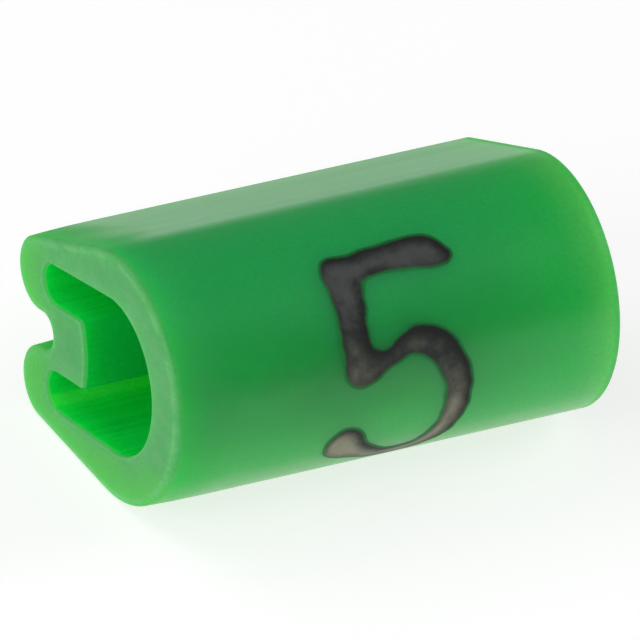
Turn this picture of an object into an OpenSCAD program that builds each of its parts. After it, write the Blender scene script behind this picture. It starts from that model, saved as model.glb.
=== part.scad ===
// Cable marker: a short sleeve of soft plastic, drawn as one closed section and cut to length.
// It slides onto a wire, and the fold at its back presses a springy tongue against the wire.
// The wire runs along X, the round print face looks to -Y, and the sleeve lies on one flank.

/* [Body] */
// Length along the wire
body_l = 6; // [3:0.5:12]
// Width across the round print face
body_w = 3.15; // [2.95:0.05:3.6]
// Depth from the print face to the backs of the lobes
body_d = 3.92; // [3.72:0.02:4.6]

/* [Walls] */
// Wall under the print face
print_wall = 0.67; // [0.45:0.01:0.8]
// Wall of a flank where it leaves the print face
flank_wall = 0.61; // [0.45:0.01:0.7]

/* [Fold] */
// Radius of the two round lobes at the back
lobe_r = 0.48; // [0.44:0.01:0.56]
// Width of the notch between the lobes
notch_w = 0.43; // [0.3:0.01:0.5]
// Depth of the notch, from the backs of the lobes to its root
notch_depth = 0.79; // [0.72:0.01:0.95]
// Thickness of the tongue, from the notch root to its crown
tongue_t = 0.82; // [0.6:0.01:1]
// Width of the tongue
tongue_w = 0.88; // [0.8:0.01:1]
// Rise of the tongue's crown above its edges
crown_rise = 0.07; // [0.04:0.01:0.12]
// Radius of the tongue's two corners
tongue_corner_r = 0.08; // [0.04:0.01:0.12]
// Depth of the pockets beside the tongue, from its crown
pocket_depth = 0.99; // [0.8:0.01:1.1]
// Radius of the round pocket ends
pocket_r = 0.24; // [0.18:0.01:0.26]

/* [Hidden] */
$fn = 96;

// Section axes: the nose centre is the origin, u runs back to the notch, v runs across
sides = [-1, 1];
nose_r = body_w / 2;
back_u = body_d - nose_r;
notch_r = notch_w / 2;
notch_u = back_u - notch_depth + notch_r;
lobe_u = back_u - lobe_r;
lobe_v = notch_r + lobe_r;
seat_r = nose_r - flank_wall;
seat_u = print_wall + seat_r - nose_r;
crown_u = back_u - notch_depth - tongue_t;
tongue_v = tongue_w / 2;
pocket_u = crown_u + pocket_depth - pocket_r;
pocket_v = tongue_v + pocket_r;

// The crown is one arc, and each corner arc touches it and the tongue's side
crown_r = (tongue_v * tongue_v + crown_rise * crown_rise) / (2 * crown_rise);
crown_centre_u = crown_u + crown_r;
corner_v = tongue_v - tongue_corner_r;
corner_reach = crown_r - tongue_corner_r;
corner_u = crown_centre_u - sqrt(corner_reach * corner_reach - corner_v * corner_v);
crown_edge_v = corner_v * crown_r / corner_reach;

// Slope of the line that touches a big circle and a small one further back
function slope(big_u, big_r, small_u, small_v, small_r) =
    asin((big_r - small_r) / norm([small_u - big_u, small_v])) - atan2(small_v, small_u - big_u);

// Point at which that line touches a circle
function touch(u, v, r, angle) = [u + r * sin(angle), v + r * cos(angle)];

// Point mirrored across the section's middle
function mirrored(p) = [p[0], -p[1]];

flank_slope = slope(0, nose_r, lobe_u, lobe_v, lobe_r);
cavity_slope = slope(seat_u, seat_r, pocket_u, pocket_v, pocket_r);

// Lying on the flank: the turned section is centred over the origin
lobe_rise_u = lobe_u * cos(flank_slope) + lobe_v * sin(flank_slope);
middle_u = (lobe_rise_u + lobe_r - nose_r) / 2;

// Filled shape between a round front and two round ends further back
module pear(front_u, front_r, end_u, end_v, end_r, angle) {
    front = touch(front_u, 0, front_r, angle);
    end = touch(end_u, end_v, end_r, angle);
    translate([front_u, 0]) circle(r = front_r);
    for (side = sides)
        translate([end_u, side * end_v]) circle(r = end_r);
    polygon([mirrored(front), mirrored(end), [end_u, -end_v], [end_u, end_v], end, front]);
}

// Notch between the lobes, with a full round root
module notch() {
    translate([notch_u, 0]) circle(r = notch_r);
    translate([notch_u, -notch_r]) square([back_u - notch_u, notch_w]);
}

// Tongue from the fold, with a crowned tip
module tongue() {
    for (side = sides)
        translate([corner_u, side * corner_v]) circle(r = tongue_corner_r);
    translate([corner_u, -tongue_v]) square([notch_u - corner_u, tongue_w]);
    intersection() {
        translate([crown_centre_u, 0]) circle(r = crown_r);
        translate([crown_u, -crown_edge_v]) square([notch_u - crown_u, 2 * crown_edge_v]);
    }
}

// Closed section of the sleeve
module section() {
    difference() {
        union() {
            difference() {
                pear(0, nose_r, lobe_u, lobe_v, lobe_r, flank_slope);
                pear(seat_u, seat_r, pocket_u, pocket_v, pocket_r, cavity_slope);
            }
            tongue();
        }
        notch();
    }
}

// The whole sleeve, lying on its lower flank
module marker_sleeve() {
    color([0.13, 0.55, 0.27])
        rotate([90, 0, 90])
            linear_extrude(height = body_l, center = true)
                translate([-middle_u, nose_r])
                    rotate(-flank_slope)
                        section();
}

marker_sleeve();
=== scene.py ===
"""Cable marker: a soft drawn sleeve with a stamped numeral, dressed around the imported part."""
import logging
import math
from dataclasses import dataclass
from enum import Enum
from typing import Any, Callable, Sequence

import bpy
import bmesh
import numpy as np
from mathutils import Matrix, Vector


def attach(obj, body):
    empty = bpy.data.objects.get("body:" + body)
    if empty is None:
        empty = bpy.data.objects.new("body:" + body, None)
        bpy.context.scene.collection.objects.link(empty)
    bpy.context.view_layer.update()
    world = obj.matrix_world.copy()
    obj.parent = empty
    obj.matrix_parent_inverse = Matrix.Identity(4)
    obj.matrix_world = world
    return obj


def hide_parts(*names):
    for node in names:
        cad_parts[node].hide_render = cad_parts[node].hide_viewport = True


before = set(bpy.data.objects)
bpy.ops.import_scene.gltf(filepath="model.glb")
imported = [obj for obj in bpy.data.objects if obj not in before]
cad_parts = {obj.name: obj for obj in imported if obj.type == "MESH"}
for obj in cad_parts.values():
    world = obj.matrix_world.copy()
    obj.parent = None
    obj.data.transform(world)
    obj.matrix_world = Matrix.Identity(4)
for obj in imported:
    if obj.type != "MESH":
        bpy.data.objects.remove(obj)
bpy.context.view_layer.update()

LOG = logging.getLogger("cable_marker")

MM = 0.001
BODY = "root"
NODE = "marker_sleeve"
IMAGE_PX = 640
NOISE_MIDDLE = 0.5

Point = tuple[float, float]
Colour = tuple[float, float, float]
Triple = tuple[float, float, float]
Stroke = tuple[float, float, float]
# Values between which something comes in, as low and high
Fade = tuple[float, float]
# Height of a bump in millimetres, and the share of it that is used
Relief = tuple[float, float]


class End(Enum):
    """The two cut ends, by the sign of X."""

    LEFT = -1
    RIGHT = 1


class Part(Enum):
    """Kinds of mesh element that are picked in edit mode."""

    VERT = "VERT"
    EDGE = "EDGE"


class Maths(Enum):
    """Operations of a Math node that the finishes use."""

    ADD = "ADD"
    SUBTRACT = "SUBTRACT"
    MULTIPLY = "MULTIPLY"
    DIVIDE = "DIVIDE"
    ABSOLUTE = "ABSOLUTE"
    MAXIMUM = "MAXIMUM"


class Value:
    """A number socket that takes part in Python arithmetic."""

    def __init__(self, graph: "Graph", socket: bpy.types.NodeSocket) -> None:
        """Keeps the socket and the graph that it belongs to."""
        self.graph = graph
        self.socket = socket

    def _with(self, operation: Maths, first: Any, second: Any) -> "Value":
        """Adds one Math node for two numbers or Values, and gives its result."""
        return self.graph.node("ShaderNodeMath", {"operation": operation.value}, {0: first, 1: second})

    def __add__(self, other: Any) -> "Value":
        """Sum."""
        return self._with(Maths.ADD, self, other)

    def __radd__(self, other: Any) -> "Value":
        """Sum with a number in front."""
        return self._with(Maths.ADD, other, self)

    def __sub__(self, other: Any) -> "Value":
        """Difference."""
        return self._with(Maths.SUBTRACT, self, other)

    def __rsub__(self, other: Any) -> "Value":
        """Difference with a number in front."""
        return self._with(Maths.SUBTRACT, other, self)

    def __mul__(self, other: Any) -> "Value":
        """Product."""
        return self._with(Maths.MULTIPLY, self, other)

    def __rmul__(self, other: Any) -> "Value":
        """Product with a number in front."""
        return self._with(Maths.MULTIPLY, other, self)

    def __truediv__(self, other: Any) -> "Value":
        """Quotient."""
        return self._with(Maths.DIVIDE, self, other)

    def __rtruediv__(self, other: Any) -> "Value":
        """Quotient with a number in front."""
        return self._with(Maths.DIVIDE, other, self)

    def __abs__(self) -> "Value":
        """Size without sign."""
        return self._with(Maths.ABSOLUTE, self, 0.0)

    def most(self, other: Any) -> "Value":
        """The larger of two."""
        return self._with(Maths.MAXIMUM, self, other)

    def swing(self, amount: float) -> "Value":
        """A noise made into plus or minus half an amount."""
        return amount * (self - NOISE_MIDDLE)

    def step(self, fade: Fade) -> "Value":
        """Smooth step from 0 at a fade's low value to 1 at its high one."""
        sockets = {"Value": self, "From Min": fade[0], "From Max": fade[1]}
        return self.graph.node("ShaderNodeMapRange", {"interpolation_type": "SMOOTHSTEP"}, sockets)

    def fall(self, fade: Fade) -> "Value":
        """Smooth step from 1 at a fade's low value to 0 at its high one."""
        return 1.0 - self.step(fade)


@dataclass(frozen=True)
class Noise:
    """A noise: cells to a millimetre along X, Y and Z, its octaves, and the weight of the finer ones."""

    cells: Triple
    octaves: float
    weight: float = 0.5


class Graph:
    """The node tree of one material, with its Principled shader."""

    def __init__(self, name: str) -> None:
        """Makes the material, with Blender's own shader and output in its tree.

        Args:
            name: the material's name.
        """
        self.material = bpy.data.materials.new(name)
        self.material.use_nodes = True
        self.tree = self.material.node_tree
        self.shader = self.tree.nodes["Principled BSDF"]

    def plug(self, socket: bpy.types.NodeSocket, value: Any) -> None:
        """Links a Value into a socket, or sets a plain number or colour on it.

        Args:
            socket: the input.
            value: a Value, a number, a vector or a colour of three.
        """
        if isinstance(value, Value):
            self.tree.links.new(value.socket, socket)
        elif socket.type == "RGBA":
            socket.default_value = (*value, 1.0)
        else:
            socket.default_value = value

    def node(self, kind: str, settings: dict[str, Any], inputs: dict[Any, Any], output: Any = 0) -> Value:
        """Adds one node.

        Args:
            kind: the node's type.
            settings: what is set on the node itself, before its sockets.
            inputs: numbers, colours or Values by socket name or place.
            output: name or place of the output that is wanted.

        Returns:
            That output.
        """
        made = self.tree.nodes.new(kind)
        for name, value in settings.items():
            setattr(made, name, value)
        for name, value in inputs.items():
            self.plug(made.inputs[name], value)
        return Value(self, made.outputs[output])

    def place(self) -> Value:
        """Object coordinates, in metres."""
        return self.node("ShaderNodeTexCoord", {}, {}, "Object")

    def along(self, vector: Value, axis: str) -> Value:
        """One component of a vector in metres, in millimetres."""
        return self.node("ShaderNodeSeparateXYZ", {}, {0: vector}, axis) / MM

    def mark(self, name: str) -> Value:
        """A number that the mesh holds at each point."""
        return self.node("ShaderNodeAttribute", {"attribute_name": name}, {}, "Fac")

    def noise(self, vector: Value, noise: Noise) -> Value:
        """Noise on the object.

        Args:
            vector: coordinates in metres.
            noise: its cells and octaves.

        Returns:
            The noise value, from 0 to 1.
        """
        scale = tuple(each / MM for each in noise.cells)
        stretched = self.node("ShaderNodeMapping", {}, {"Vector": vector, "Scale": scale})
        inputs = {"Vector": stretched, "Scale": 1.0, "Detail": noise.octaves, "Roughness": noise.weight}
        return self.node("ShaderNodeTexNoise", {}, inputs, "Fac")

    def mix(self, factor: Value, first: Any, second: Any) -> Value:
        """Blend of two colours or Values, from the first at 0 to the second at 1."""
        return self.node("ShaderNodeMix", {"data_type": "RGBA"}, {0: factor, 6: first, 7: second}, 2)

    def shade(self, colour: Value, factor: Value) -> Value:
        """A colour made lighter or darker by a factor."""
        return self.node("ShaderNodeVectorMath", {"operation": "SCALE"}, {0: colour, "Scale": factor})

    def bump(self, height: Value, relief: Relief, normal: Value | None = None) -> Value:
        """Bump from a height.

        Args:
            height: height from 0 to 1.
            relief: what a height of 1 means, and the share of the bump that is used.
            normal: an earlier bump that this one lies on.

        Returns:
            The bumped normal.
        """
        inputs = {"Strength": relief[1], "Distance": relief[0] * MM, "Height": height}
        if normal is not None:
            inputs["Normal"] = normal
        return self.node("ShaderNodeBump", {}, inputs)

    def feed(self, **inputs: Any) -> None:
        """Sets or links the shader's own sockets, with underscores for spaces in their names."""
        for name, value in inputs.items():
            self.plug(self.shader.inputs[name.replace("_", " ")], value)


@dataclass(frozen=True)
class Section:
    """Sizes of the folded section, in millimetres, and its place when the sleeve lies on its flank."""

    body_w: float = 3.15
    body_d: float = 3.92
    print_wall: float = 0.67
    flank_wall: float = 0.61
    lobe_r: float = 0.48
    notch_w: float = 0.43
    notch_depth: float = 0.79
    tongue_t: float = 0.82
    tongue_w: float = 0.88
    crown_rise: float = 0.07
    corner_r: float = 0.08
    pocket_depth: float = 0.99
    pocket_r: float = 0.24

    @property
    def nose_r(self) -> float:
        """Radius of the print face."""
        return self.body_w / 2

    @property
    def back_u(self) -> float:
        """Reach of the lobes behind the nose centre."""
        return self.body_d - self.nose_r

    @property
    def lobe(self) -> Point:
        """Centre of the upper lobe."""
        return self.back_u - self.lobe_r, self.notch_w / 2 + self.lobe_r

    @property
    def notch_u(self) -> float:
        """Centre of the notch's round root."""
        return self.back_u - self.notch_depth + self.notch_w / 2

    @property
    def seat(self) -> Point:
        """Centre and radius of the seat behind the print face."""
        radius = self.nose_r - self.flank_wall
        return self.print_wall + radius - self.nose_r, radius

    @property
    def crown_u(self) -> float:
        """Tip of the tongue."""
        return self.back_u - self.notch_depth - self.tongue_t

    @property
    def pocket(self) -> Point:
        """Centre of the upper pocket's round end."""
        return self.crown_u + self.pocket_depth - self.pocket_r, self.tongue_w / 2 + self.pocket_r

    @staticmethod
    def slope(big_u: float, big_r: float, small: Point, small_r: float) -> float:
        """Slope in radians of the line that touches a circle on the axis and a smaller one behind it."""
        run, rise = small[0] - big_u, small[1]
        return math.asin((big_r - small_r) / math.hypot(run, rise)) - math.atan2(rise, run)

    @property
    def flank_slope(self) -> float:
        """Taper of the flanks."""
        return self.slope(0.0, self.nose_r, self.lobe, self.lobe_r)

    @property
    def cavity_slope(self) -> float:
        """Taper of the cavity's sides."""
        seat_u, seat_r = self.seat
        return self.slope(seat_u, seat_r, self.pocket, self.pocket_r)

    @property
    def middle_u(self) -> float:
        """Middle of the turned section, which comes over the origin.

        Returns:
            Its place behind the nose centre, in millimetres.
        """
        u, v = self.lobe
        reach = u * math.cos(self.flank_slope) + v * math.sin(self.flank_slope) + self.lobe_r
        return (reach - self.nose_r) / 2

    def lay(self, x: float, u: float, v: float) -> Vector:
        """Point of the lying sleeve in metres, from X and the section's u and v in millimetres."""
        c, s = math.cos(self.flank_slope), math.sin(self.flank_slope)
        return Vector((x, u * c + v * s - self.middle_u, -u * s + v * c + self.nose_r)) * MM


class SleeveSpot:
    """What the plastic's finish reads at a point of the sleeve, with lengths in millimetres."""

    def __init__(self, graph: Graph, finish: "SoftPlastic", section: Section, half: float) -> None:
        """Reads the point's place and the noises there.

        Args:
            graph: the material's nodes.
            finish: says which noises.
            section: the sleeve's section.
            half: half the sleeve's length.
        """
        place = graph.place()
        y = graph.along(place, "Y") + section.middle_u
        z = graph.along(place, "Z") - section.nose_r
        c, s = math.cos(section.flank_slope), math.sin(section.flank_slope)
        self.graph = graph
        self.x = graph.along(place, "X")
        self.u = c * y - s * z
        self.v = s * y + c * z
        self.inset = half - abs(self.x)
        self.bore = graph.mark(Sleeve.BORE)
        self.mottle = graph.noise(place, finish.mottle)
        self.speckle = graph.noise(place, finish.speckle)
        self.lines = graph.noise(place, finish.lines)
        self.waves = graph.noise(place, finish.waves)
        self.drag = graph.noise(place, finish.drag)
        self.drift = self.mottle.swing(finish.drift_mm)

    def split(self, outside: Any, bore: Any) -> Value:
        """One value on the outside and another in the bore."""
        return outside + self.bore * (bore - outside)


@dataclass(frozen=True)
class SoftPlastic:
    """Soft green plastic: satin drawn skin, deep green bore, paler grainy cut ends."""

    # Colours of the drawn skin: its own green, then painted reflections and painted light on parts of it
    skin: Colour = (0.002, 0.350, 0.048)
    skin_deep: Colour = (0.001, 0.280, 0.044)
    # Painted reflection: the upper print face is made bluer and lighter
    painted_upper_sheen: Colour = (0.006, 0.370, 0.080)
    # Painted light: the lower print face is made lighter green, standing for light bounced up from the floor
    foot: Colour = (0.006, 0.410, 0.050)
    # Painted reflection: a pale strip along the print face's bottom edge, standing for the white floor
    # reflected there
    painted_floor_reflection: Colour = (0.130, 0.450, 0.130)
    # Painted light: the flanks are made brighter green, standing for light from above and behind shining
    # through them
    flank: Colour = (0.007, 0.405, 0.046)
    # Painted light: the skin is made lighter towards the far end, standing for light from the right shining
    # through
    painted_far_glow: Colour = (0.008, 0.440, 0.064)
    # Painted light: a paler band along the far end of the skin, standing for light from the right at that
    # edge
    painted_far_edge_light: Colour = (0.075, 0.430, 0.090)
    # Colours in the cavity: the plastic's green with its drawn streaks, made much lighter than the skin as
    # painted light for light that reaches inside
    bore: Colour = (0.004, 0.625, 0.078)
    bore_shade: Colour = (0.002, 0.475, 0.066)
    # Painted shade: the tongue's tip in the cavity is made darker
    painted_tip_shade: Colour = (0.003, 0.460, 0.062)
    # Painted light: a lit strip on the thin lower pocket wall, standing for light shining through it
    painted_thin_glow: Colour = (0.040, 0.670, 0.084)
    # Colours of the cut ends, with painted light on the lobes and painted highlights along the edges
    cut: Colour = (0.040, 0.280, 0.066)
    cut_haze: Colour = (0.062, 0.290, 0.086)
    # Painted light: the cut's lobes and lower part are made greener, standing for light shining through them
    painted_lobe_glow: Colour = (0.046, 0.345, 0.046)
    # Painted highlight: a pale line along the cut's edge at the cavity
    painted_rim_highlight: Colour = (0.076, 0.320, 0.100)
    # Painted highlight: a pale line along the cut's outer edge, broken up by the drag noise
    painted_ridge_highlight: Colour = (0.084, 0.330, 0.104)
    # Shine and scatter
    skin_roughness: float = 0.33
    bore_roughness: float = 0.22
    cut_roughness: float = 0.60
    line_shine: float = 0.03
    mottle_shine: float = 0.04
    ior: float = 1.5
    scatter_mm: Colour = (0.25, 1.60, 0.35)
    scatter_weight: float = 0.75
    # Noises: cloudy colour, fine grain, drawing lines, slow waves and the blade's drag
    mottle: Noise = Noise((1.1, 1.6, 1.6), 3.0)
    speckle: Noise = Noise((22.0, 22.0, 22.0), 2.0)
    lines: Noise = Noise((0.12, 9.0, 9.0), 2.0)
    waves: Noise = Noise((0.10, 2.4, 2.4), 1.0)
    drag: Noise = Noise((3.0, 2.2, 5.0), 3.0, 0.6)
    wave_relief: Relief = (0.012, 1.0)
    line_relief: Relief = (0.008, 0.10)
    speckle_relief: Relief = (0.004, 0.20)
    grain_dark: float = 0.84
    grain_gain: float = 0.32
    drift_mm: float = 0.7
    cut_drift_mm: float = 0.03
    far_edge_drift: float = 0.3
    floor_reflection_drift: float = 0.5
    flank_drift: float = 0.5
    # Where the skin's colours and its painted light and shade come in, by place along X or in the section
    deep_mottle: float = 0.6
    deep_speckle: float = 0.7
    deep_fade: Fade = (0.45, 0.90)
    # Painted shade: the middle of the print face, around middle_x, is darkened
    middle_x: float = -0.5
    painted_middle_shade: float = 0.16
    middle_fade: Fade = (0.3, 1.7)
    painted_upper_sheen_fade: Fade = (0.20, 1.25)
    floor_bounce_fade: Fade = (0.10, 1.10)
    painted_far_glow_fade: Fade = (0.9, 3.1)
    painted_far_edge_light_fade: Fade = (2.3, 3.0)
    painted_floor_reflection_fade: Fade = (0.95, 1.45)
    flank_light_fade: Fade = (-0.35, 1.25)
    # Where the cavity's colours come in
    streak_share: float = 0.5
    streak_fade: Fade = (0.35, 0.65)
    tip_front: Fade = (0.60, 0.70)
    tip_back: Fade = (0.78, 0.95)
    tip_side: Fade = (0.40, 0.50)
    thin_back: Fade = (1.40, 1.58)
    thin_top: Fade = (0.77, 0.83)
    thin_foot: Fade = (0.87, 0.94)
    mouth_shade: float = 0.14
    mouth_fade: Fade = (0.10, 0.80)
    # Where the cut's colours come in, by way from the cut or in the section
    haze_fade: Fade = (0.40, 0.68)
    lobe_fade: Fade = (1.35, 2.0)
    low_fade: Fade = (0.75, 1.25)
    outer_cut: Fade = (0.025, 0.140)
    inner_cut: Fade = (0.015, 0.080)
    rim_start: Fade = (0.020, 0.035)
    rim_end: Fade = (0.002, 0.010)
    ridge_start: Fade = (0.006, 0.020)
    ridge_end: Fade = (0.0001, 0.003)
    ridge_break: Fade = (0.35, 0.60)
    frost_edge: Fade = (0.03, 0.20)
    frost_near: Fade = (0.04, 0.90)

    def make(self, section: Section, half: float) -> bpy.types.Material:
        """Builds the material.

        Args:
            section: the sleeve's section, which says where on it a point lies.
            half: half the sleeve's length, in millimetres.

        Returns:
            The material.
        """
        graph = Graph("soft_green_plastic")
        at = SleeveSpot(graph, self, section, half)
        edge = at.inset - at.mottle.swing(self.cut_drift_mm)
        inner_cut = at.inset.fall(self.inner_cut)
        drawn = graph.mix(at.bore, self._drawn_skin(at), self._drawn_walls(at))
        sawn = graph.mix(at.split(edge.fall(self.outer_cut), inner_cut), drawn, self._sawn(at))
        # Painted highlight along the cut's outer edge
        ridge = (1.0 - at.bore) * at.inset.fall(self.ridge_start) * at.inset.step(self.ridge_end)
        ridged = graph.mix(ridge * at.drag.step(self.ridge_break), sawn, self.painted_ridge_highlight)
        # Painted highlight along the cavity's edge on the cut
        rim = at.bore * at.inset.fall(self.rim_start) * at.inset.step(self.rim_end)
        colour = graph.mix(rim, ridged, self.painted_rim_highlight)
        satin = at.split(self.skin_roughness, self.bore_roughness)
        uneven = at.lines.swing(self.line_shine) + at.mottle.swing(self.mottle_shine)
        near = half + at.x - at.drift
        frost = edge.fall(self.frost_edge).most(near.fall(self.frost_near))
        matt = at.split(frost, inner_cut)
        wavy = graph.bump(at.waves, self.wave_relief)
        lined = graph.bump(at.lines, self.line_relief, wavy)
        graph.feed(
            Base_Color=graph.shade(colour, self.grain_dark + self.grain_gain * at.speckle),
            Roughness=satin + uneven + matt * (self.cut_roughness - satin),
            Normal=graph.bump(at.speckle, self.speckle_relief, lined),
            IOR=self.ior,
            Subsurface_Weight=self.scatter_weight,
            Subsurface_Radius=self.scatter_mm,
            Subsurface_Scale=MM,
        )
        return graph.material

    def _drawn_skin(self, at: SleeveSpot) -> Value:
        """Colour of the outer skin: print face with painted shade in its middle and painted light and
        reflections on its parts, then the flanks with painted light.

        Args:
            at: the point.

        Returns:
            The colour.
        """
        graph = at.graph
        deep = self.deep_mottle * at.mottle + self.deep_speckle * at.speckle
        skin = graph.mix(deep.step(self.deep_fade), self.skin, self.skin_deep)
        # Painted shade across the middle of the print face
        middle = abs(at.x - self.middle_x + at.drift).fall(self.middle_fade)
        skin = graph.shade(skin, 1.0 - self.painted_middle_shade * middle)
        for way, fade, colour in (
            # Painted reflection on the upper print face
            (at.v + at.drift, self.painted_upper_sheen_fade, self.painted_upper_sheen),
            # Painted light from the floor on the lower print face
            (at.drift - at.v, self.floor_bounce_fade, self.foot),
            # Painted glow towards the far end
            (at.x + at.drift, self.painted_far_glow_fade, self.painted_far_glow),
            # Painted light along the far end's edge
            (at.x + self.far_edge_drift * at.drift, self.painted_far_edge_light_fade, self.painted_far_edge_light),
            # Painted reflection of the floor along the bottom edge
            (self.floor_reflection_drift * at.drift - at.v, self.painted_floor_reflection_fade, self.painted_floor_reflection),
            # Painted light on the flanks
            (at.u + self.flank_drift * at.drift, self.flank_light_fade, self.flank),
        ):
            skin = graph.mix(way.step(fade), skin, colour)
        return skin

    def _drawn_walls(self, at: SleeveSpot) -> Value:
        """Colour of the cavity: lighter than the skin as painted light, streaked walls, painted shade on the
        tongue's tip, a painted glow on the thin lower pocket and painted shade at the mouth.

        Args:
            at: the point.

        Returns:
            The colour.
        """
        graph = at.graph
        streaks = self.streak_share * at.lines.step(self.streak_fade)
        # The walls' colours are lighter than the skin's as painted light; the streaks are the drawing's own
        walls = graph.mix(streaks, self.bore, self.bore_shade)
        # Painted shade on the tongue's tip
        tip = at.u.step(self.tip_front) * at.u.fall(self.tip_back) * abs(at.v).fall(self.tip_side)
        walls = graph.mix(tip, walls, self.painted_tip_shade)
        # Painted light on the thin lower pocket wall
        low = 0.0 - at.v
        thin = at.u.step(self.thin_back) * low.step(self.thin_top) * low.fall(self.thin_foot)
        walls = graph.mix(thin, walls, self.painted_thin_glow)
        # Painted shade: the walls are darkened near the cut ends
        return graph.shade(walls, 1.0 - self.mouth_shade * at.inset.fall(self.mouth_fade))

    def _sawn(self, at: SleeveSpot) -> Value:
        """Colour of the cut ends, hazy where the blade dragged, with painted light that makes the lobes and
        the lower part greener.

        Args:
            at: the point.

        Returns:
            The colour.
        """
        graph = at.graph
        hazy = graph.mix(at.drag.step(self.haze_fade), self.cut, self.cut_haze)
        # Painted light on the lobes and the lower part of the cut
        lobed = (at.u + at.drift).step(self.lobe_fade).most((at.drift - at.v).step(self.low_fade))
        return graph.mix(lobed, hazy, self.painted_lobe_glow)


@dataclass(frozen=True)
class StampedInk:
    """Black stamped film: dark rims where ink gathers, darkest on the top and right rims as painted shade of
    the groove walls, greyer high on the face, and a pale brown painted floor reflection below.
    """

    bleed: Colour = (0.003, 0.200, 0.034)
    # Rim colour: partly thick ink at the rims, partly painted shade of the groove walls
    rim_ink_and_shade: Colour = (0.007, 0.009, 0.008)
    heart: Colour = (0.014, 0.018, 0.018)
    grey: Colour = (0.064, 0.068, 0.068)
    # Painted reflection: the low part of the numeral is made pale brown, standing for the floor's glare on
    # the ink
    painted_floor_glare: Colour = (0.245, 0.245, 0.170)
    roughness: float = 0.60
    gloss: float = 0.25
    ior: float = 1.5
    patch: Noise = Noise((3.4, 3.4, 3.4), 4.0, 0.6)
    grain: Noise = Noise((20.0, 20.0, 20.0), 2.0)
    grain_relief: Relief = (0.004, 0.4)
    # Swings that the noises give to height, the rims' ink and painted shade, border and shine
    height_patch: float = 1.8
    load_and_shade_patch: float = 0.7
    load_and_shade_grain: float = 0.30
    border_grain: float = 0.12
    shine_patch: float = 0.16
    shine_grain: float = 0.10
    # Heights in millimetres, and shares of the rims' ink and painted shade and of the depth inside the
    # outline
    grey_fade: Fade = (2.30, 3.05)
    glare_lean: float = 0.20
    glare_fade: Fade = (0.60, 2.45)
    load_and_shade_fade: Fade = (0.0, 0.95)
    border_fade: Fade = (-0.04, 0.30)

    def make(self) -> bpy.types.Material:
        """Builds the material.

        Returns:
            The material.
        """
        graph = Graph("stamped_ink")
        place = graph.place()
        patch = graph.noise(place, self.patch)
        grain = graph.noise(place, self.grain)
        height = graph.along(place, "Z") + patch.swing(self.height_patch)
        leaned = height + self.glare_lean * graph.along(place, "X")
        body = graph.mix(height.step(self.grey_fade), self.heart, self.grey)
        # Painted reflection of the floor on the low part of the numeral
        body = graph.mix(leaned.fall(self.glare_fade), body, self.painted_floor_glare)
        # Dark rims, partly ink and partly painted shade leaned to the top and right
        load_and_shade = graph.mark(Numeral.LOAD_AND_SHADE) + patch.swing(self.load_and_shade_patch) + grain.swing(self.load_and_shade_grain)
        rim_shaded = graph.mix(load_and_shade.step(self.load_and_shade_fade), self.rim_ink_and_shade, body)
        border = graph.mark(Numeral.DEPTH) + grain.swing(self.border_grain)
        graph.feed(
            Base_Color=graph.mix(border.step(self.border_fade), self.bleed, rim_shaded),
            Roughness=self.roughness + patch.swing(self.shine_patch) + grain.swing(self.shine_grain),
            Normal=graph.bump(grain, self.grain_relief),
            IOR=self.ior,
            Specular_IOR_Level=self.gloss,
        )
        return graph.material


@dataclass(frozen=True)
class PaleFloor:
    """Matt near-white light table."""

    colour: Colour = (0.40, 0.40, 0.40)
    fibre: Noise = Noise((0.3, 0.3, 0.3), 2.0)
    fibre_shade: float = 0.985
    roughness: float = 0.8
    lamp: Colour = (1.0, 1.0, 1.0)
    glow: float = 0.69

    def make(self) -> bpy.types.Material:
        """Builds the material.

        Returns:
            The material.
        """
        graph = Graph("pale_floor")
        shaded = tuple(self.fibre_shade * each for each in self.colour)
        graph.feed(
            Base_Color=graph.mix(graph.noise(graph.place(), self.fibre), self.colour, shaded),
            Roughness=self.roughness,
            Emission_Color=self.lamp,
            Emission_Strength=self.glow,
        )
        return graph.material


def ease(value: np.ndarray, low: float, high: float) -> np.ndarray:
    """Smooth steps of an array, from 0 at a low value to 1 at a high one."""
    share = np.clip((value - low) / (high - low), 0.0, 1.0)
    return share * share * (3.0 - 2.0 * share)


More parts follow.
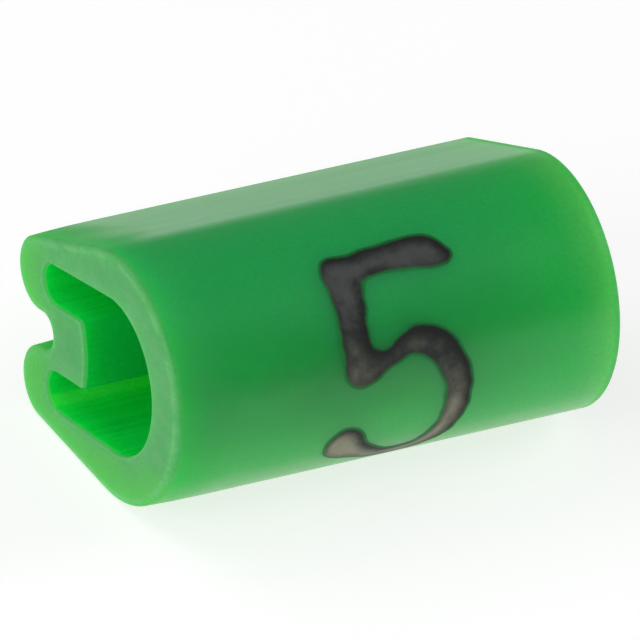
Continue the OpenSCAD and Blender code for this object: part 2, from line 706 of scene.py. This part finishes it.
class Hand:
    """Edit-mode helpers that act on one mesh object at a time."""

    # How far from a plane still counts as in it, in millimetres
    CLOSE = 0.0005

    @staticmethod
    def alone(obj: bpy.types.Object) -> None:
        """Makes an object the only one that is selected, and active.

        Args:
            obj: the object.
        """
        if bpy.context.object and bpy.context.object.mode != "OBJECT":
            bpy.ops.object.mode_set(mode="OBJECT")
        bpy.ops.object.select_all(action="DESELECT")
        obj.select_set(True)
        bpy.context.view_layer.objects.active = obj

    @staticmethod
    def start(name: str) -> bpy.types.Object:
        """Starts an empty mesh object at the origin, in edit mode.

        Args:
            name: the piece's name.

        Returns:
            The object.
        """
        mesh = bpy.data.meshes.new(name)
        obj = bpy.data.objects.new(name, mesh)
        bpy.context.scene.collection.objects.link(obj)
        Hand.alone(obj)
        bpy.ops.object.mode_set(mode="EDIT")
        bpy.ops.mesh.select_mode(type=Part.VERT.value)
        return obj

    @staticmethod
    def pick(obj: bpy.types.Object, part: Part, test: Callable[[Any], bool]) -> None:
        """Selects vertices or edges by a test.

        Args:
            obj: the object in edit mode.
            part: what is selected.
            test: says of one bmesh element if it is selected.
        """
        bpy.ops.mesh.select_mode(type=part.value)
        bpy.ops.mesh.select_all(action="DESELECT")
        bm = bmesh.from_edit_mesh(obj.data)
        elements = bm.verts if part is Part.VERT else bm.edges
        for element in elements:
            if test(element):
                element.select_set(True)
        bm.select_flush_mode()
        bmesh.update_edit_mesh(obj.data)

    @staticmethod
    def pick_rim(obj: bpy.types.Object, x: float) -> None:
        """Selects the open edges that lie in one plane across the sleeve, at X in millimetres."""
        Hand.pick(
            obj,
            Part.EDGE,
            lambda e: len(e.link_faces) < 2 and all(abs(v.co.x / MM - x) < Hand.CLOSE for v in e.verts),
        )

    @staticmethod
    def narrow(obj: bpy.types.Object, inward: float) -> None:
        """Moves the selected closed loop sideways in its plane across the sleeve.

        Args:
            obj: the object in edit mode.
            inward: move towards the loop's inside, in millimetres.
        """
        bm = bmesh.from_edit_mesh(obj.data)
        ring = [next(v for v in bm.verts if v.select)]
        count = sum(v.select for v in bm.verts)
        while len(ring) < count:
            ahead = (e.other_vert(ring[-1]) for e in ring[-1].link_edges if e.select)
            ring.append(next(v for v in ahead if v not in ring[-2:]))
        flat = np.array([(v.co.y, v.co.z) for v in ring])
        edge = np.roll(flat, -1, axis=0) - flat
        area = np.sum(flat[:, 0] * np.roll(flat[:, 1], -1) - flat[:, 1] * np.roll(flat[:, 0], -1))
        edge /= np.linalg.norm(edge, axis=1)[:, None]
        along = edge + np.roll(edge, 1, axis=0)
        along *= np.sign(area) * inward * MM / np.linalg.norm(along, axis=1)[:, None]
        for v, (step_y, step_z) in zip(ring, along):
            v.co.y -= step_z
            v.co.z += step_y
        bmesh.update_edit_mesh(obj.data)


class Pen:
    """Draws an outline in edit mode: a vertex that is extruded along lines and spun along arcs."""

    def __init__(self, obj: bpy.types.Object, section: Section, x: float) -> None:
        """Takes the pen up.

        Args:
            obj: the object in edit mode.
            section: places the points.
            x: the outline's place along X, in millimetres.
        """
        self.obj = obj
        self.section = section
        self.x = x
        self.here: Point = (0.0, 0.0)

    def _at(self, point: Point) -> Vector:
        """A section point in metres."""
        return self.section.lay(self.x, *point)

    def begin(self, point: Point) -> None:
        """Puts the first vertex down.

        Args:
            point: its place in the section.
        """
        bpy.ops.mesh.select_mode(type=Part.VERT.value)
        bpy.ops.mesh.select_all(action="DESELECT")
        bm = bmesh.from_edit_mesh(self.obj.data)
        bm.verts.new(self._at(point)).select_set(True)
        bmesh.update_edit_mesh(self.obj.data)
        self.here = point

    def line(self, point: Point) -> None:
        """Extrudes the last vertex to a point.

        Args:
            point: the line's end in the section.
        """
        move = self._at(point) - self._at(self.here)
        bpy.ops.mesh.extrude_region_move(TRANSFORM_OT_translate={"value": move})
        self.here = point

    def arc(self, centre: Point, sweep: float, steps: int) -> None:
        """Spins the last vertex about a centre.

        Args:
            centre: the arc's centre in the section.
            sweep: angle in radians, positive from u towards v.
            steps: segments of the arc.
        """
        bpy.ops.mesh.spin(steps=steps, angle=sweep, center=self._at(centre), axis=(-1.0, 0.0, 0.0))
        u, v = self.here[0] - centre[0], self.here[1] - centre[1]
        c, s = math.cos(sweep), math.sin(sweep)
        self.here = (centre[0] + u * c - v * s, centre[1] + u * s + v * c)

    def close(self, weld: float) -> None:
        """Welds the last point to the first and leaves the outline selected.

        Args:
            weld: how near points are welded, in millimetres.
        """
        Hand.pick_rim(self.obj, self.x)
        bpy.ops.mesh.select_mode(type=Part.VERT.value)
        bpy.ops.mesh.remove_doubles(threshold=weld * MM)


@dataclass
class Numeral:
    """The numeral, stamped into the print face and filled with a film of ink, in millimetres."""

    DEPTH = "ink_depth"
    LOAD_AND_SHADE = "ink_load_and_shade"

    section: Section = Section()
    # Patch of the unrolled face that is stamped, and the film's mesh
    reach: float = 1.15
    low: float = -1.75
    high: float = 1.75
    cell: float = 0.018
    spare_cells: float = 0.35
    weld: float = 0.007
    trim_rounds: int = 3
    probe: float = 0.004
    least_slope: float = 0.05
    relax: float = 0.5
    relax_rounds: int = 6
    smooth_deg: float = 50.0
    # Groove and film
    groove: float = 0.012
    wall: float = 0.17
    film: float = 0.045
    proud: float = 0.003
    room: float = 0.010
    lap: float = 0.02
    feather: float = 0.19
    # Shift that leans the ink's dark rim to the top and right, as painted shade of the groove walls
    lean: Point = (0.035, 0.050)
    # Uneven outline: waves to a millimetre along X and up, in radians
    fillet: float = 0.22
    wobble: float = 0.010
    swell: Point = (9.0, 5.0)
    cross: Point = (-4.0, 7.0)
    cross_phase: float = 1.3
    ripple: Point = (11.0, 23.0)
    ripple_share: float = 0.5
    samples: int = 24
    # Pen strokes: place along X, height round the face in degrees, half width
    bar: tuple[Stroke, ...] = (
        (0.84, 45.0, 0.140), (0.62, 48.9, 0.245), (0.35, 49.4, 0.212), (0.0, 49.6, 0.202),
        (-0.55, 47.2, 0.180),
    )
    stem: tuple[Stroke, ...] = (
        (-0.545, 46.6, 0.190), (-0.525, 37.0, 0.225), (-0.55, 24.0, 0.205), (-0.545, 12.0, 0.205),
        (-0.52, 4.0, 0.200),
    )
    bowl: tuple[Stroke, ...] = (
        (-0.50, 3.2, 0.190), (-0.30, 4.2, 0.165), (-0.08, 7.2, 0.140), (0.12, 10.8, 0.165),
        (0.30, 11.0, 0.200), (0.48, 8.0, 0.215), (0.66, 1.2, 0.215), (0.78, -9.5, 0.200),
        (0.815, -21.0, 0.188), (0.785, -32.0, 0.178), (0.70, -42.5, 0.170), (0.52, -51.5, 0.150),
        (0.24, -54.5, 0.140), (-0.05, -52.5, 0.150), (-0.36, -44.5, 0.190), (-0.60, -37.0, 0.275),
        (-0.65, -33.5, 0.235),
    )

    def _track(self, nodes: Sequence[Stroke]) -> np.ndarray:
        """Smooth stroke through its nodes.

        Args:
            nodes: place, height and half width of each node.

        Returns:
            Rows of X, height and half width in millimetres, on the unrolled face.
        """
        rows = np.array([(x, math.radians(deg) * self.section.nose_r, half) for x, deg, half in nodes])
        padded = np.vstack([2 * rows[0] - rows[1], rows, 2 * rows[-1] - rows[-2]])
        t = np.linspace(0.0, 1.0, self.samples, endpoint=False)[:, None]
        spans = []
        for a, b, c, d in zip(padded, padded[1:], padded[2:], padded[3:]):
            bend = 2 * a - 5 * b + 4 * c - d + t * (3 * (b - c) + d - a)
            spans.append(b + 0.5 * t * (c - a + t * bend))
        return np.vstack([*spans, rows[-1:]])

    def inside(self, points: np.ndarray) -> np.ndarray:
        """How far points lie inside the strokes, which run into each other with a fillet.

        Args:
            points: X and height of each point on the unrolled face, in millimetres.

        Returns:
            Depth inside the outline, negative outside.
        """
        x, h = points[:, 0], points[:, 1]
        whole = np.full(len(points), self.high - self.low)
        for stroke in (self.bar, self.stem, self.bowl):
            track = self._track(stroke)
            way = np.hypot(x[:, None] - track[:, 0], h[:, None] - track[:, 1])
            gap = (way - track[:, 2]).min(axis=1)
            near = np.clip(0.5 - 0.5 * (gap - whole) / self.fillet, 0.0, 1.0)
            whole += near * (gap - whole) - self.fillet * near * (1.0 - near)
        wave = np.sin(points @ self.swell) * np.sin(points @ self.cross + self.cross_phase)
        wave += self.ripple_share * np.sin(points @ self.ripple)
        return self.wobble * wave - whole

    def press(self, points: np.ndarray) -> np.ndarray:
        """Depth of the stamp in the sleeve, in millimetres, at points of the unrolled face."""
        return (self.groove + self.room) * ease(self.inside(points), 0.0, self.wall - self.lap)

    def build(self) -> bpy.types.Object:
        """Models the film: a grid that is cut to the strokes, laid into the groove and made thick.

        Returns:
            The finished object.
        """
        obj = Hand.start("numeral_ink")
        span = (2 * self.reach, self.high - self.low)
        across, up = (round(each / self.cell) for each in span)
        bpy.ops.mesh.primitive_grid_add(
            x_subdivisions=across, y_subdivisions=up, size=1.0, location=(0.0, 0.0, 0.0)
        )
        bpy.ops.transform.resize(value=(span[0] * MM, span[1] * MM, 1.0))
        depth = self.inside(self._flat(obj))
        spare = self.spare_cells * self.cell
        Hand.pick(obj, Part.VERT, lambda v: depth[v.index] < -spare)
        bpy.ops.mesh.delete(type="VERT")
        bpy.ops.mesh.select_all(action="SELECT")
        bpy.ops.mesh.delete_loose()
        self._trim(obj)
        self._wrap(obj)
        bpy.ops.object.mode_set(mode="OBJECT")
        thick = obj.modifiers.new("film", "SOLIDIFY")
        thick.thickness = self.film * MM
        thick.offset = -1.0
        bpy.ops.object.modifier_apply(modifier="film")
        bpy.ops.object.shade_smooth_by_angle(angle=math.radians(self.smooth_deg))
        return obj

    def _flat(self, obj: bpy.types.Object) -> np.ndarray:
        """Reads the film while it is flat, and numbers its vertices.

        Args:
            obj: the film in edit mode.

        Returns:
            X and height of each vertex on the unrolled face, in millimetres.
        """
        bm = bmesh.from_edit_mesh(obj.data)
        bm.verts.index_update()
        return np.array([(v.co.x / MM, v.co.y / MM) for v in bm.verts])

    def _trim(self, obj: bpy.types.Object) -> None:
        """Moves the film's border onto the outline and evens the mesh out behind it.

        Args:
            obj: the film in edit mode.
        """
        for _ in range(self.trim_rounds):
            flat = self._flat(obj)
            here = self.inside(flat)
            slope_x = (self.inside(flat + (self.probe, 0.0)) - here) / self.probe
            slope_h = (self.inside(flat + (0.0, self.probe)) - here) / self.probe
            way = here / np.maximum(slope_x ** 2 + slope_h ** 2, self.least_slope) * MM
            bm = bmesh.from_edit_mesh(obj.data)
            for v in bm.verts:
                if v.is_boundary:
                    v.co.x -= way[v.index] * slope_x[v.index]
                    v.co.y -= way[v.index] * slope_h[v.index]
            bmesh.update_edit_mesh(obj.data)
        bpy.ops.mesh.select_all(action="SELECT")
        bpy.ops.mesh.remove_doubles(threshold=self.weld * MM)
        Hand.pick(obj, Part.VERT, lambda v: not v.is_boundary)
        bpy.ops.mesh.vertices_smooth(factor=self.relax, repeat=self.relax_rounds)

    def _wrap(self, obj: bpy.types.Object) -> None:
        """Lays the flat film into the groove and keeps how deep each point lies inside the outline.

        Args:
            obj: the film in edit mode.
        """
        flat = self._flat(obj)
        depth = self.inside(flat)
        sunk = self.groove * ease(depth, self.lap, self.wall) - self.proud
        # The shifted depth carries the dark rims, partly ink and partly painted shade
        marks = {self.DEPTH: depth, self.LOAD_AND_SHADE: self.inside(flat + self.lean)}
        bm = bmesh.from_edit_mesh(obj.data)
        layers = {name: bm.verts.layers.float.new(name) for name in marks}
        for v in bm.verts:
            x, height = flat[v.index]
            angle = height / self.section.nose_r
            radius = self.section.nose_r - sunk[v.index]
            v.co = self.section.lay(x, -radius * math.cos(angle), radius * math.sin(angle))
            for name, inside in marks.items():
                v[layers[name]] = min(max(inside[v.index] / self.feather, 0.0), 1.0)
        bmesh.update_edit_mesh(obj.data)
        bpy.ops.mesh.select_all(action="SELECT")
        bpy.ops.mesh.normals_make_consistent(inside=False)

    def dress(self, obj: bpy.types.Object, finish: StampedInk) -> None:
        """Gives the film its ink and its place in the frame.

        Args:
            obj: the film.
            finish: the ink.
        """
        obj.data.materials.append(finish.make())
        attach(obj, BODY)


@dataclass
class Sleeve:
    """The drawn sleeve with its two cut ends and the stamp's groove, in millimetres."""

    BORE = "bore_share"

    section: Section = Section()
    length: float = 6.0
    # Softened cut edges, as reach along X and across the cut, and the pinched left end
    skin_edge: Point = (0.045, 0.13)
    cavity_edge: Point = (0.09, 0.07)
    edge_steps: int = 6
    pinch: float = 0.02
    pinch_run: float = 0.75
    pinch_steps: int = 8
    # Rings along the sleeve and segments of the section's arcs
    skin_runs: int = 12
    stamp_runs: int = 66
    cavity_runs: int = 16
    nose_steps: int = 176
    lobe_steps: int = 36
    notch_steps: int = 28
    seat_steps: int = 84
    pocket_steps: int = 26
    corner_steps: int = 8
    crown_steps: int = 14
    weld: float = 0.0003
    smooth_deg: float = 40.0

    def _outside(self, pen: Pen) -> None:
        """Draws nose, flanks, lobes and notch.

        Args:
            pen: draws the outline.
        """
        s = self.section
        slope, notch_r = s.flank_slope, s.notch_w / 2
        lobe_u, lobe_v = s.lobe
        foot = (lobe_u + s.lobe_r * math.sin(slope), lobe_v + s.lobe_r * math.cos(slope))
        start = (s.nose_r * math.sin(slope), s.nose_r * math.cos(slope))
        pen.begin(start)
        pen.arc((0.0, 0.0), math.pi + 2 * slope, self.nose_steps)
        pen.line((foot[0], -foot[1]))
        pen.arc((lobe_u, -lobe_v), math.pi - slope, self.lobe_steps)
        pen.line((s.notch_u, -notch_r))
        pen.arc((s.notch_u, 0.0), -math.pi, self.notch_steps)
        pen.line((lobe_u, notch_r))
        pen.arc((lobe_u, lobe_v), math.pi - slope, self.lobe_steps)
        pen.line(start)
        pen.close(self.weld)

    def _inside(self, pen: Pen) -> None:
        """Draws seat, pockets and tongue.

        Args:
            pen: draws the outline.
        """
        s = self.section
        slope, tongue_v = s.cavity_slope, s.tongue_w / 2
        (seat_u, seat_r), (pocket_u, pocket_v) = s.seat, s.pocket
        crown_r = (tongue_v ** 2 + s.crown_rise ** 2) / (2 * s.crown_rise)
        crown = (s.crown_u + crown_r, 0.0)
        corner_v = tongue_v - s.corner_r
        corner_u = crown[0] - math.sqrt((crown_r - s.corner_r) ** 2 - corner_v ** 2)
        tip = math.atan2(corner_v, crown[0] - corner_u)
        foot = (pocket_u + s.pocket_r * math.sin(slope), pocket_v + s.pocket_r * math.cos(slope))
        start = (seat_u + seat_r * math.sin(slope), seat_r * math.cos(slope))
        pen.begin(start)
        pen.arc((seat_u, 0.0), math.pi + 2 * slope, self.seat_steps)
        pen.line((foot[0], -foot[1]))
        pen.arc((pocket_u, -pocket_v), math.pi - slope, self.pocket_steps)
        pen.line((corner_u, -tongue_v))
        pen.arc((corner_u, -corner_v), tip - math.pi / 2, self.corner_steps)
        pen.arc(crown, -2 * tip, self.crown_steps)
        pen.arc((corner_u, corner_v), tip - math.pi / 2, self.corner_steps)
        pen.line((pocket_u, tongue_v))
        pen.arc((pocket_u, pocket_v), math.pi - slope, self.pocket_steps)
        pen.line(start)
        pen.close(self.weld)

    def _draw_out(self, stations: np.ndarray) -> None:
        """Extrudes the selected outline from ring to ring, at places along X in millimetres."""
        for step in np.diff(stations):
            bpy.ops.mesh.extrude_region_move(TRANSFORM_OT_translate={"value": (step * MM, 0.0, 0.0)})

    def _taper(self, obj: bpy.types.Object, end: End, runs: np.ndarray, insets: np.ndarray) -> None:
        """Extrudes the selected rim towards one end in steps that also move it sideways.

        Args:
            obj: the sleeve in edit mode.
            end: which end.
            runs: way along X from the rim, in millimetres, at each ring.
            insets: move towards the rim's inside at each ring, in millimetres.
        """
        for run, inset in zip(np.diff(runs), np.diff(insets)):
            move = (end.value * run * MM, 0.0, 0.0)
            bpy.ops.mesh.extrude_region_move(TRANSFORM_OT_translate={"value": move})
            Hand.narrow(obj, inset)

    def _round(self, obj: bpy.types.Object, end: End, edge: Point, inward: float) -> None:
        """Rounds a cut edge from the selected rim on, by its reach along X and across; inward is 1 or -1."""
        turns = np.linspace(0.0, math.pi / 2, self.edge_steps + 1)
        self._taper(obj, end, edge[0] * np.sin(turns), inward * edge[1] * (1.0 - np.cos(turns)))

    def _skin(self, obj: bpy.types.Object, numeral: Numeral) -> None:
        """Models the outer skin, with a left end that is pinched by the blade.

        Args:
            obj: the sleeve in edit mode.
            numeral: needs close rings where it is stamped.
        """
        end = self.length / 2 - self.skin_edge[0]
        first = self.pinch_run - end
        left = np.linspace(first, -numeral.reach, self.skin_runs + 1)[:-1]
        stamped = np.linspace(-numeral.reach, numeral.reach, self.stamp_runs + 1)
        right = np.linspace(numeral.reach, end, self.skin_runs + 1)[1:]
        self._outside(Pen(obj, self.section, first))
        self._draw_out(np.concatenate([left, stamped, right]))
        self._round(obj, End.RIGHT, self.skin_edge, 1.0)
        Hand.pick_rim(obj, first)
        share = np.linspace(0.0, 1.0, self.pinch_steps + 1)
        self._taper(obj, End.LEFT, self.pinch_run * share, self.pinch * share ** 2)
        self._round(obj, End.LEFT, self.skin_edge, 1.0)

    def _cavity(self, obj: bpy.types.Object) -> None:
        """Models the cavity's walls and marks them.

        Args:
            obj: the sleeve in edit mode.
        """
        end = self.length / 2 - self.cavity_edge[0]
        first = len(bmesh.from_edit_mesh(obj.data).verts)
        self._inside(Pen(obj, self.section, -end))
        self._draw_out(np.linspace(-end, end, self.cavity_runs + 1))
        self._round(obj, End.RIGHT, self.cavity_edge, -1.0)
        Hand.pick_rim(obj, -end)
        self._round(obj, End.LEFT, self.cavity_edge, -1.0)
        bm = bmesh.from_edit_mesh(obj.data)
        layer = bm.verts.layers.float.new(self.BORE)
        bm.verts.ensure_lookup_table()
        for v in bm.verts[first:]:
            v[layer] = 1.0
        bmesh.update_edit_mesh(obj.data)

    def _stamp(self, obj: bpy.types.Object, numeral: Numeral) -> None:
        """Presses the numeral's groove into the print face.

        Args:
            obj: the sleeve in edit mode.
            numeral: what is stamped.
        """
        s = self.section
        centre = s.lay(0.0, 0.0, 0.0)
        back = (s.lay(0.0, 1.0, 0.0) - centre) / MM
        across = (s.lay(0.0, 0.0, 1.0) - centre) / MM
        bm = bmesh.from_edit_mesh(obj.data)
        verts, spots, arms = [], [], []
        for v in bm.verts:
            arm = v.co - centre
            u, w = arm.dot(back) / MM, arm.dot(across) / MM
            on_face = u < 0.0 and abs(math.hypot(u, w) - s.nose_r) < self.weld
            if on_face and abs(v.co.x) < numeral.reach * MM:
                verts.append(v)
                spots.append((v.co.x / MM, math.atan2(w, -u) * s.nose_r))
                arms.append((back * u + across * w) / s.nose_r)
        for v, arm, sunk in zip(verts, arms, numeral.press(np.array(spots))):
            v.co -= arm * float(sunk) * MM
        bmesh.update_edit_mesh(obj.data)

    def build(self, numeral: Numeral) -> bpy.types.Object:
        """Models the sleeve.

        Args:
            numeral: what is stamped into the print face.

        Returns:
            The finished object.
        """
        obj = Hand.start("sleeve_soft")
        self._skin(obj, numeral)
        self._cavity(obj)
        for end in End:
            Hand.pick_rim(obj, end.value * self.length / 2)
            bpy.ops.mesh.fill(use_beauty=True)
        bpy.ops.mesh.select_all(action="SELECT")
        bpy.ops.mesh.normals_make_consistent(inside=False)
        self._stamp(obj, numeral)
        bpy.ops.object.mode_set(mode="OBJECT")
        bpy.ops.object.shade_smooth_by_angle(angle=math.radians(self.smooth_deg))
        return obj

    def dress(self, obj: bpy.types.Object, finish: SoftPlastic) -> None:
        """Gives the sleeve its finish and its place in the frame.

        Args:
            obj: the sleeve.
            finish: the plastic.
        """
        obj.data.materials.append(finish.make(self.section, self.length / 2))
        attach(obj, BODY)
        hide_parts(NODE)


@dataclass(frozen=True)
class SoftLight:
    """One soft box, in millimetres from the origin."""

    name: str
    place: Triple
    size: Point
    power: float
    aim: Triple = (0.0, 0.0, 1.5)

    def make(self) -> None:
        """Puts the light in the scene."""
        data = bpy.data.lights.new(self.name, "AREA")
        data.shape = "RECTANGLE"
        data.size, data.size_y = (each * MM for each in self.size)
        data.energy = self.power
        obj = bpy.data.objects.new(self.name, data)
        bpy.context.scene.collection.objects.link(obj)
        obj.location = Vector(self.place) * MM
        obj.rotation_euler = (Vector(self.aim) - Vector(self.place)).to_track_quat("-Z", "Y").to_euler()


@dataclass(frozen=True)
class Studio:
    """Pale floor, white surroundings and soft boxes."""

    floor: PaleFloor = PaleFloor()
    floor_mm: float = 400.0
    white: float = 0.20
    lights: tuple[SoftLight, ...] = (
        SoftLight("left_box", (-66.0, -18.0, 26.0), (45.0, 45.0), 0.028),
        SoftLight("front_box", (-22.0, -68.0, 30.0), (40.0, 40.0), 0.006),
        SoftLight("right_box", (62.0, -12.0, 36.0), (40.0, 40.0), 0.017),
        SoftLight("back_box", (-36.0, 34.0, 58.0), (60.0, 40.0), 0.018),
    )

    def make(self) -> None:
        """Builds floor, world and lights."""
        bpy.ops.object.select_all(action="DESELECT")
        bpy.ops.mesh.primitive_plane_add(size=self.floor_mm * MM)
        floor = bpy.context.object
        floor.name = "floor"
        floor.data.materials.append(self.floor.make())
        world = bpy.data.worlds.new("white_surroundings")
        bpy.context.scene.world = world
        world.use_nodes = True
        sky = world.node_tree.nodes["Background"]
        sky.inputs["Color"].default_value = (1.0, 1.0, 1.0, 1.0)
        sky.inputs["Strength"].default_value = self.white
        for light in self.lights:
            light.make()
        bpy.context.scene.view_settings.view_transform = "Standard"


@dataclass(frozen=True)
class PhotoCamera:
    """Camera at the photograph's angle, given against the upright section and turned with the sleeve."""

    section: Section = Section()
    azimuth: float = -28.405
    elevation: float = 21.374
    roll: float = 1.508
    px_per_mm: float = 85.066
    nose_px: Point = (112.83, 377.67)
    near_x: float = -Sleeve.length / 2
    lens: float = 1200.0
    sensor: float = 36.0
    # Nearest and farthest shown, as shares of the camera's distance
    clip: Point = (0.05, 4.0)

    def make(self) -> None:
        """Puts the camera in the scene."""
        a, e, r = (math.radians(each) for each in (self.azimuth, self.elevation, self.roll))
        right = Vector((math.cos(a), math.sin(a), 0.0))
        up = Vector((-math.sin(a) * math.sin(e), math.cos(a) * math.sin(e), math.cos(e)))
        turn = Matrix.Rotation(-self.section.flank_slope, 3, "X")
        side = turn @ (math.cos(r) * right - math.sin(r) * up)
        top = turn @ (math.sin(r) * right + math.cos(r) * up)
        back = side.cross(top)
        middle = IMAGE_PX / 2
        mm_per_px = 1.0 / self.px_per_mm
        aim = self.section.lay(self.near_x, 0.0, 0.0)
        aim += side * (middle - self.nose_px[0]) * mm_per_px * MM
        aim += top * (self.nose_px[1] - middle) * mm_per_px * MM
        distance = IMAGE_PX * mm_per_px * MM * self.lens / self.sensor
        data = bpy.data.cameras.new("photo_camera")
        data.lens, data.sensor_width = self.lens, self.sensor
        data.clip_start, data.clip_end = (share * distance for share in self.clip)
        obj = bpy.data.objects.new("photo_camera", data)
        bpy.context.scene.collection.objects.link(obj)
        basis = Matrix((side, top, back)).transposed().to_4x4()
        obj.matrix_world = Matrix.Translation(aim + back * distance) @ basis
        bpy.context.scene.camera = obj


def main() -> None:
    """Builds the pieces in order and reports each one."""
    logging.basicConfig(level=logging.INFO, format="%(name)s: %(message)s")
    numeral = Numeral()
    sleeve = Sleeve()
    body = sleeve.build(numeral)
    sleeve.dress(body, SoftPlastic())
    LOG.info("%s: %d faces", body.name, len(body.data.polygons))
    film = numeral.build()
    numeral.dress(film, StampedInk())
    LOG.info("%s: %d faces", film.name, len(film.data.polygons))
    Studio().make()
    PhotoCamera().make()


if __name__ == "__main__":
    main()
